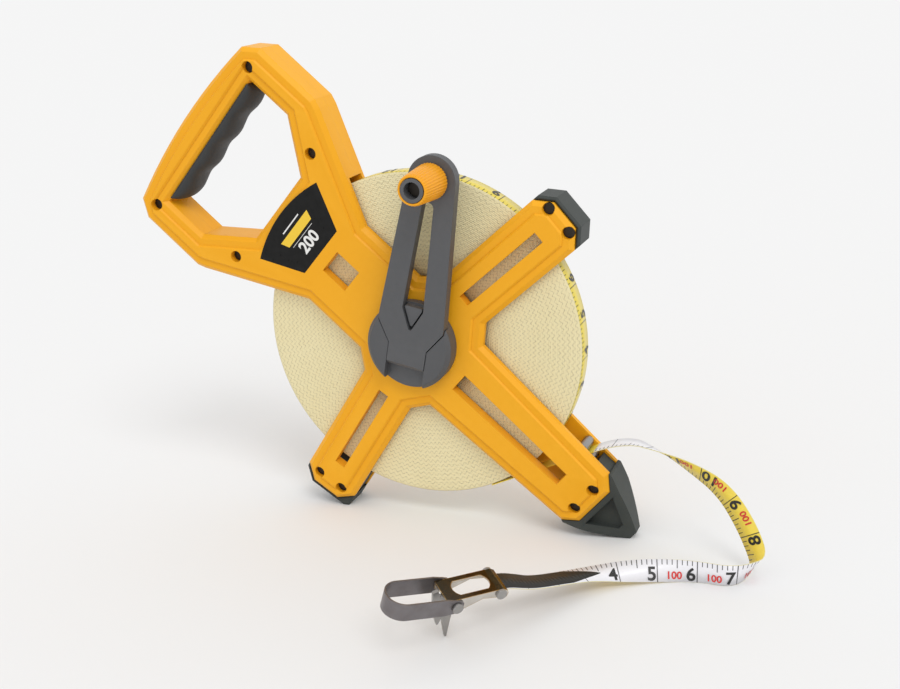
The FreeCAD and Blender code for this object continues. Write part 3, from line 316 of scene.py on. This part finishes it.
for number, line in ((4, 9), (5, 8), (6, 7), (7, 6)):
    print_mark(f"white_{number}", str(number), white_start + line * pitch + 0.0009,
                            0.08, 0.0108, True, black_ink)
for number, line in ((8, 5), (9, 4), (10, 3), (11, 2)):
    print_mark(f"yellow_{number}", str(number), yellow_start + line * pitch + 0.0009,
                            0.08, 0.0108, False, black_ink)
for line in (8, 7, 6):
    print_mark(f"white_red_{line}", "100", white_start + (line - 0.62) * pitch,
                            0.14, 0.0060, True, red_ink)
for line in (5, 4, 3):
    print_mark(f"yellow_red_{line}", "100", yellow_start + (line - 0.62) * pitch,
                            0.14, 0.0060, False, red_ink)

# ---------------------------------------------------------------- leader
# A black rubber sleeve, moulded over the last few centimetres of tape. Its end towards
# the reel is cut to a point.
leader = make_ribbon("tape_leader_sleeve", tape_length - 0.0735, tape_length - 0.0004,
                     tape_width / 2 - 0.0005, tape_thick + 0.0005, point_long=0.022)
add, maths, mix, finish = node_material("leader_rubber")
place = add("ShaderNodeUVMap")
split = add("ShaderNodeSeparateXYZ", {0: place.outputs[0]})
cloud = add("ShaderNodeTexNoise", {"Scale": 160.0, "Detail": 6.0})
ribs = maths("SINE", maths("MULTIPLY", split.outputs[0], 2400.0))
inside = maths("MULTIPLY", maths("GREATER_THAN", split.outputs[1], 0.3),
               maths("LESS_THAN", split.outputs[1], 0.7))
raised = maths("ADD", maths("MULTIPLY", maths("MULTIPLY", ribs, inside), 0.4), cloud.outputs[0])
leader_black = finish(mix(cloud.outputs[0], (0.007, 0.0065, 0.006, 1), (0.022, 0.02, 0.016, 1)),
                      maths("ADD", 0.38, maths("MULTIPLY", cloud.outputs[0], 0.3)), raised,
                      0.00016, 0.0002)
leader.data.materials.append(leader_black)
leader.data.materials.append(leader_black)
leader.data.materials.append(leader_black)
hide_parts("tape_leader")

# ---------------------------------------------------------------- wound tape
# About sixty metres of tape wound flat. Its sides are the edges of the turns, and its rim
# is the printed face of the last turn.
bm = bmesh.new()
uv = bm.loops.layers.uv.new("UVMap")
profile = [(0.0301, 0.0060), (0.060, 0.00615), (0.085, 0.00625), (0.0955, 0.0063), (0.1008, 0.00635),
           (0.1018, 0.0062), (0.1018, -0.0062), (0.1008, -0.00635), (0.0955, -0.0063), (0.085, -0.00625),
           (0.060, -0.00615), (0.0301, -0.0060)]
turns = 192
rings = []
for step in range(turns):
    angle = 2 * math.pi * step / turns
    rings.append([bm.verts.new((radius * math.cos(angle), radius * math.sin(angle), level))
                  for radius, level in profile])
for step in range(turns):
    for k in range(len(profile)):
        n = (k + 1) % len(profile)
        quad = bm.faces.new([rings[step][k], rings[step][n], rings[(step + 1) % turns][n],
                             rings[(step + 1) % turns][k]])
        quad.smooth = True
        outer = k == 5
        quad.material_index = 1 if outer else 0
        for loop, (turn, spot) in zip(quad.loops, ((step, k), (step, n), (step + 1, n), (step + 1, k))):
            loop[uv].uv = (turn / turns * 2 * math.pi * 0.1018,
                           1.0 if spot == 5 else 0.0)
bmesh.ops.recalc_face_normals(bm, faces=bm.faces)
mesh = bpy.data.meshes.new("tape_winding")
bm.to_mesh(mesh)
bm.free()
winding = bpy.data.objects.new("tape_winding", mesh)
winding.matrix_world = stand
scene.collection.objects.link(winding)
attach(winding, "reel")
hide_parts("tape_roll")

add, maths, mix, finish = node_material("winding_edges")
place = add("ShaderNodeTexCoord")
split = add("ShaderNodeSeparateXYZ", {0: place.outputs["Object"]})
x, y = split.outputs[0], split.outputs[1]
radius = maths("SQRT", maths("ADD", maths("MULTIPLY", x, x), maths("MULTIPLY", y, y)))
angle = maths("ARCTAN2", y, x)
wobble = add("ShaderNodeTexNoise", {"Vector": place.outputs["Object"], "Scale": 60.0, "Detail": 2.0})
sway = maths("MULTIPLY", maths("SINE", maths("ADD", maths("MULTIPLY", angle, 150.0),
             maths("MULTIPLY", wobble.outputs[0], 5.0))), 0.0008)
rows = maths("SINE", maths("MULTIPLY", maths("ADD", radius, sway), 2 * math.pi / 0.0030))
turn_lines = maths("SINE", maths("MULTIPLY", radius, 2 * math.pi / 0.0011))
fine = add("ShaderNodeTexNoise", {"Vector": place.outputs["Object"], "Scale": 1400.0, "Detail": 3.0})
broad = add("ShaderNodeTexNoise", {"Vector": place.outputs["Object"], "Scale": 25.0, "Detail": 3.0})
line_share = maths("MULTIPLY", maths("POWER", maths("MAXIMUM", rows, 0.0), 4.0),
                   maths("MAXIMUM", maths("MULTIPLY", maths("SUBTRACT", fine.outputs[0], 0.32), 1.9), 0.0))
cream = mix(broad.outputs[0], (0.80, 0.70, 0.40, 1), (0.90, 0.82, 0.52, 1))
speckled = mix(maths("MULTIPLY", fine.outputs[0], 0.3), cream, (0.60, 0.51, 0.27, 1))
lined = mix(line_share, speckled, (0.23, 0.19, 0.11, 1))
height = maths("ADD", maths("MULTIPLY", turn_lines, 0.25),
               maths("SUBTRACT", fine.outputs[0], maths("MULTIPLY", line_share, 0.8)))
winding_edges = finish(lined, 0.62, height, 0.00025, 0.0003)
mesh.materials.append(winding_edges)
rim_print = make_print("rim_yellow", (0.80, 0.66, 0.10, 1), (0.68, 0.50, 0.06, 1), True, 0.0, 0.35)
mesh.materials.append(rim_print)
rim_radius = 0.1018 + 0.0002
rim_count = int(2 * math.pi * 0.1018 / pitch)
for number in range(rim_count):
    words = bpy.data.curves.new(f"rim_{number}", "FONT")
    words.body = str(number % 12 + 1)
    words.size = 0.0105
    words.offset = 0.00023
    print_mesh = flat_text(f"rim_{number}", words)
    turn = (number * pitch + 0.0018) / 0.1018
    for vertex in print_mesh.vertices:
        angle = turn + vertex.co.x / 0.1018
        vertex.co = stand @ Vector((rim_radius * math.cos(angle), rim_radius * math.sin(angle),
                                    vertex.co.y - 0.0056))
    print_mesh.materials.append(black_ink)
    new_object(f"rim_{number}", print_mesh, "reel")


# ---------------------------------------------------------------- plastics
# The frame halves are glass-filled yellow nylon with a fine spark-eroded skin.

def make_moulded(name, colour, shade, rough, grain_size, depth, rounding=0.0006, **constants):
    """Moulded plastic: a fine skin, faint flow clouds, and edges rubbed a little paler."""
    add, maths, mix, finish = node_material(name)
    place = add("ShaderNodeTexCoord").outputs["Object"]
    skin = add("ShaderNodeTexNoise", {"Vector": place, "Scale": 1 / grain_size, "Detail": 2.0})
    cloud = add("ShaderNodeTexNoise", {"Vector": place, "Scale": 22.0, "Detail": 4.0})
    scuff = add("ShaderNodeTexNoise", {"Vector": place, "Scale": 260.0, "Detail": 5.0})
    tone = mix(maths("MULTIPLY", cloud.outputs[0], 0.6), colour, shade)
    edge = add("ShaderNodeNewGeometry").outputs["Pointiness"]
    worn = maths("MULTIPLY", maths("MULTIPLY", maths("MAXIMUM", maths("SUBTRACT", edge, 0.53), 0.0), 5.0),
                 scuff.outputs[0])
    pale = tuple(min(1.0, channel * 1.25 + 0.03) for channel in colour[:3]) + (1,)
    tone = mix(maths("MINIMUM", worn, 0.5), tone, pale)
    tone = mix(maths("MULTIPLY", skin.outputs[0], 0.12), tone, shade)
    roughness = maths("ADD", rough, maths("MULTIPLY", maths("SUBTRACT", scuff.outputs[0], 0.5), 0.18))
    return finish(tone, roughness, skin.outputs[0], depth, rounding, **constants)


def dress(material, *nodes):
    for node in nodes:
        shown = frame["nodes"][node]
        shown = bpy.data.objects[node] if not hasattr(shown, "material_slots") else shown
        for place in shown.material_slots:
            place.material = material


frame_yellow = make_moulded("frame_yellow", (0.86, 0.40, 0.011, 1), (0.80, 0.35, 0.008, 1),
                            0.42, 0.0007, 0.00005, 0.0007, Specular_IOR_Level=0.22)
dress(frame_yellow, "front_frame", "rear_frame")
cap_rubber = make_moulded("cap_rubber", (0.045, 0.052, 0.048, 1), (0.03, 0.034, 0.032, 1),
                          0.55, 0.0009, 0.00006, 0.0008, Specular_IOR_Level=0.25)
dress(cap_rubber, "upper_end_cap", "lower_end_cap", "nose_spike")
crank_grey = make_moulded("crank_grey", (0.078, 0.08, 0.085, 1), (0.06, 0.062, 0.066, 1),
                          0.5, 0.0006, 0.00006, 0.0006)
dress(crank_grey, "crank_arm", "crank_hub", "rear_retainer", "knob_sleeve")
drum_black = make_moulded("drum_black", (0.02, 0.02, 0.02, 1), (0.012, 0.012, 0.012, 1), 0.5, 0.0008, 0.00005)
dress(drum_black, "spool_core")
label_black = make_moulded("label_black", (0.006, 0.006, 0.006, 1), (0.009, 0.009, 0.008, 1),
                           0.3, 0.004, 0.000004, 0.0002, Specular_IOR_Level=0.12)
dress(label_black, "label_plate")

# ---------------------------------------------------------------- label print
# Plain digits between two bars, printed across the label so that they read from the crank's
# side.
into_stand = stand.inverted()
shown = bpy.data.objects["label_plate"]
spots = [into_stand @ (shown.matrix_world @ vertex.co) for vertex in shown.data.vertices]
label_x = [spot.x for spot in spots]
label_top = max(spot.z for spot in spots) + 0.00015
label_mid = (min(label_x) + max(label_x)) / 2
add, maths, mix, finish = node_material("ink_white")
grain = add("ShaderNodeTexNoise", {"Scale": 1200.0})
white_ink = finish(mix(grain.outputs[0], (0.72, 0.72, 0.70, 1), (0.82, 0.82, 0.80, 1)), 0.4,
                   grain.outputs[0], 0.00001, 0.0001)
add, maths, mix, finish = node_material("ink_yellow")
grain = add("ShaderNodeTexNoise", {"Scale": 1200.0})
yellow_ink = finish(mix(grain.outputs[0], (0.80, 0.50, 0.02, 1), (0.88, 0.60, 0.04, 1)), 0.4,
                    grain.outputs[0], 0.00001, 0.0001)


def on_label(name, mesh, ink):
    """A flat mesh laid on the label: its x runs across the handle, its y up the handle."""
    for vertex in mesh.vertices:
        vertex.co = stand @ Vector((label_mid - vertex.co.y, vertex.co.x, label_top))
    mesh.materials.append(ink)
    return new_object(name, mesh, "frame")


def label_bar(name, low_y, high_y, half, ink):
    mesh = bpy.data.meshes.new(name)
    slant = (high_y - low_y) * 0.4
    mesh.from_pydata([(-half, low_y, 0), (half, low_y, 0), (half + slant, high_y, 0),
                      (-half - slant, high_y, 0)], [], [(0, 1, 2, 3)])
    return on_label(name, mesh, ink)


words = bpy.data.curves.new("label_digits", "FONT")
words.body = "200"
words.size = 0.0105
words.offset = 0.0003
words.align_x = "CENTER"
mesh = flat_text("label_digits", words)
for vertex in mesh.vertices:
    vertex.co.y -= 0.0108
on_label("label_digits", mesh, white_ink)
label_bar("label_rule", -0.0021, -0.0018, 0.0105, white_ink)
label_bar("label_band", 0.0, 0.0056, 0.0125, yellow_ink)
label_bar("label_line", 0.0078, 0.0086, 0.0085, white_ink)


# ---------------------------------------------------------------- metals
# Screws are dark zinc, the axle, pins and hook are steel, and the bracket is polished.

def make_metal(name, colour, tint, rough, stretch, depth):
    """Steel with drawn scratches, finger marks and a little colour in the polish."""
    add, maths, mix, finish = node_material(name)
    place = add("ShaderNodeTexCoord").outputs["Object"]
    drawn = add("ShaderNodeMapping", {"Vector": place, "Scale": stretch})
    lines = add("ShaderNodeTexNoise", {"Vector": drawn.outputs[0], "Scale": 900.0, "Detail": 4.0})
    marks = add("ShaderNodeTexNoise", {"Vector": place, "Scale": 120.0, "Detail": 5.0})
    tone = mix(marks.outputs[0], colour, tint)
    roughness = maths("ADD", rough, maths("MULTIPLY", marks.outputs[0], 0.22))
    return finish(tone, roughness, lines.outputs[0], depth, 0.0003, Metallic=1.0)


screw_zinc = make_metal("screw_zinc", (0.03, 0.028, 0.026, 1), (0.07, 0.06, 0.05, 1), 0.4, (1, 1, 1), 0.00003)
dress(screw_zinc, "frame_screws", "hub_screw", "knob_screw")
plain_steel = make_metal("plain_steel", (0.42, 0.41, 0.4, 1), (0.3, 0.29, 0.28, 1), 0.28, (1, 1, 6), 0.00002)
dress(plain_steel, "axle", "crank_hinge_pin", "knob_spindle", "guide_roller_inner", "guide_roller_outer",
      "roller_pin_inner", "roller_pin_outer", "rear_rivet", "front_rivet", "hook_claw")
hook_steel = make_metal("hook_steel", (0.27, 0.26, 0.27, 1), (0.17, 0.15, 0.15, 1), 0.3, (1, 1, 8), 0.00003)
dress(hook_steel, "hook_ring")
add, maths, mix, finish = node_material("bracket_chrome")
place = add("ShaderNodeTexCoord").outputs["Object"]
facing = add("ShaderNodeNewGeometry")
upward = add("ShaderNodeSeparateXYZ", {0: facing.outputs["Normal"]}).outputs[2]
marks_noise = add("ShaderNodeTexNoise", {"Vector": place, "Scale": 160.0, "Detail": 4.0})
streaks = add("ShaderNodeTexNoise", {"Vector": place, "Scale": 700.0, "Detail": 3.0})
side_metal = mix(marks_noise.outputs[0], (0.72, 0.70, 0.67, 1), (0.45, 0.40, 0.34, 1))
# Faces that look upward get a near-black colour instead of the bright metal: a painted dark reflection.
top_painted_reflection = mix(marks_noise.outputs[0], (0.035, 0.032, 0.03, 1), (0.10, 0.08, 0.05, 1))
softened = add("ShaderNodeBevel", {"Radius": 0.0006}, samples=6)
flatness = add("ShaderNodeVectorMath", {0: softened.outputs[0], 1: facing.outputs["Normal"]},
               operation="DOT_PRODUCT").outputs["Value"]
# Rounded edges, found where the bevelled normal departs from the face normal, are coloured gold-bronze.
gold_rounded_edge = maths("LESS_THAN", flatness, 0.985)
# The painted dark reflection goes on every face whose normal points mostly upward.
plate = mix(maths("GREATER_THAN", upward, 0.75), side_metal, top_painted_reflection)
bracket_chrome = finish(mix(maths("MULTIPLY", gold_rounded_edge, 0.8), plate, (0.62, 0.40, 0.13, 1)),
                        maths("ADD", 0.1, maths("MULTIPLY", marks_noise.outputs[0], 0.15)),
                        streaks.outputs[0], 0.00001, 0.0006, Metallic=1.0)
dress(bracket_chrome, "hook_bracket")
bush_bronze = make_metal("bush_bronze", (0.55, 0.38, 0.16, 1), (0.42, 0.28, 0.12, 1), 0.3, (1, 1, 1), 0.00003)
dress(bush_bronze, "front_bush", "rear_bush")
dress(yellow_print, "tape_lead")

# ---------------------------------------------------------------- knob
# Orange polypropylene with fine flutes, moulded round the grey sleeve it turns on.
knob_axis = Vector(joints["knob_spin"]["pos_m"])
knob_low, knob_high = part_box("crank_knob")
knob_back, knob_front = knob_high.y, knob_low.y
bm = bmesh.new()
flutes, per_flute = 36, 6
count = flutes * per_flute
outline = [(0.0, 0.0070, 0), (0.0, 0.0094, 0), (0.0006, 0.0102, 1), (0.0020, 0.0107, 1), (0.016, 0.0099, 1),
           (0.029, 0.0091, 1), (0.0309, 0.0088, 1), (0.0318, 0.0083, 0), (0.0320, 0.0079, 0),
           (0.0320, 0.0076, 0), (0.0311, 0.0070, 0)]
long = knob_back - knob_front
rings = []
for depth, radius, fluted in outline:
    ring = []
    for step in range(count):
        angle = 2 * math.pi * step / count
        wave = abs(math.sin(flutes * angle / 2)) ** 0.7
        reach = radius - fluted * 0.00045 * (1 - wave)
        ring.append(bm.verts.new((knob_axis.x + reach * math.cos(angle), knob_back - depth * long / 0.032,
                                  knob_axis.z + reach * math.sin(angle))))
    rings.append(ring)
for inner, outer in zip(rings, rings[1:] + rings[:1]):
    for step in range(count):
        n = (step + 1) % count
        bm.faces.new([inner[step], inner[n], outer[n], outer[step]]).smooth = True
bmesh.ops.recalc_face_normals(bm, faces=bm.faces)
mesh = bpy.data.meshes.new("knob_fluted")
bm.to_mesh(mesh)
bm.free()
knob = new_object("knob_fluted", mesh, "knob")
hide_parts("crank_knob")
knob_orange = make_moulded("knob_orange", (0.86, 0.37, 0.010, 1), (0.80, 0.32, 0.008, 1), 0.38, 0.0008, 0.00004,
                           0.0002, Specular_IOR_Level=0.25)
mesh.materials.append(knob_orange)

# ---------------------------------------------------------------- grip
# A soft rubber grip with finger hollows, pushed over the inside of the handle.
bm = bmesh.new()
sections, around = 64, 20
grid = []
for step in range(sections + 1):
    share = step / sections
    y = -0.0474 + 0.0948 * share
    ends = min(1, min(share, 1 - share) / 0.07)
    rounded = math.sqrt(max(0.0, 1 - (1 - ends) ** 2))
    finger = 0.5 + 0.5 * math.cos(2 * math.pi * (share * 4.0 + 0.0))
    bulge = (0.0064 + 0.0019 * (1 - finger)) * (0.35 + 0.65 * rounded)
    row = []
    for k in range(around + 1):
        turn = math.pi * (k / around - 0.5)
        out = bulge * math.copysign(abs(math.cos(turn)) ** 0.75, 1)
        row.append(bm.verts.new(stand @ Vector((-0.1774 + out, y, 0.0123 * math.sin(turn)))))
    grid.append(row)
for first, second in zip(grid, grid[1:]):
    for k in range(around):
        bm.faces.new([first[k], first[k + 1], second[k + 1], second[k]]).smooth = True
    bm.faces.new([first[around], first[0], second[0], second[around]])
for row in (grid[0], grid[-1]):
    bm.faces.new(row)
bmesh.ops.recalc_face_normals(bm, faces=bm.faces)
mesh = bpy.data.meshes.new("finger_grip")
bm.to_mesh(mesh)
bm.free()
grip = new_object("finger_grip", mesh, "frame")
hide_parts("handle_grip")
grip_rubber = make_moulded("grip_rubber", (0.04, 0.043, 0.045, 1), (0.028, 0.03, 0.032, 1),
                          0.55, 0.0005, 0.0001, 0.0003, Specular_IOR_Level=0.3)
mesh.materials.append(grip_rubber)

# ---------------------------------------------------------------- floor and light
# A pale floor in even light, with a wide soft key from the upper right in front.
bpy.ops.mesh.primitive_plane_add(size=60, location=(0, 0, 0))
floor = bpy.context.object
floor.name = "floor"
add, maths, mix, finish = node_material("floor_white")
cloud = add("ShaderNodeTexNoise", {"Scale": 2.0})
floor_white = finish(mix(maths("MULTIPLY", cloud.outputs[0], 0.05), (0.8, 0.8, 0.8, 1), (0.78, 0.78, 0.78, 1)),
                     0.9, cloud.outputs[0], 0.00001, 0.0001, Specular_IOR_Level=0.0)
floor.data.materials.append(floor_white)

world = bpy.data.worlds.new("studio")
scene.world = world
world.use_nodes = True
world.node_tree.nodes["Background"].inputs[0].default_value = (0.93, 0.93, 0.93, 1)
world.node_tree.nodes["Background"].inputs[1].default_value = 0.98


key = bpy.data.lights.new("key", "SUN")
key.energy = 0.95
key.angle = math.radians(28)
lamp = bpy.data.objects.new("key", key)
lamp.rotation_euler = Vector((-0.55, 0.6, -1.0)).to_track_quat("-Z", "Y").to_euler()
scene.collection.objects.link(lamp)
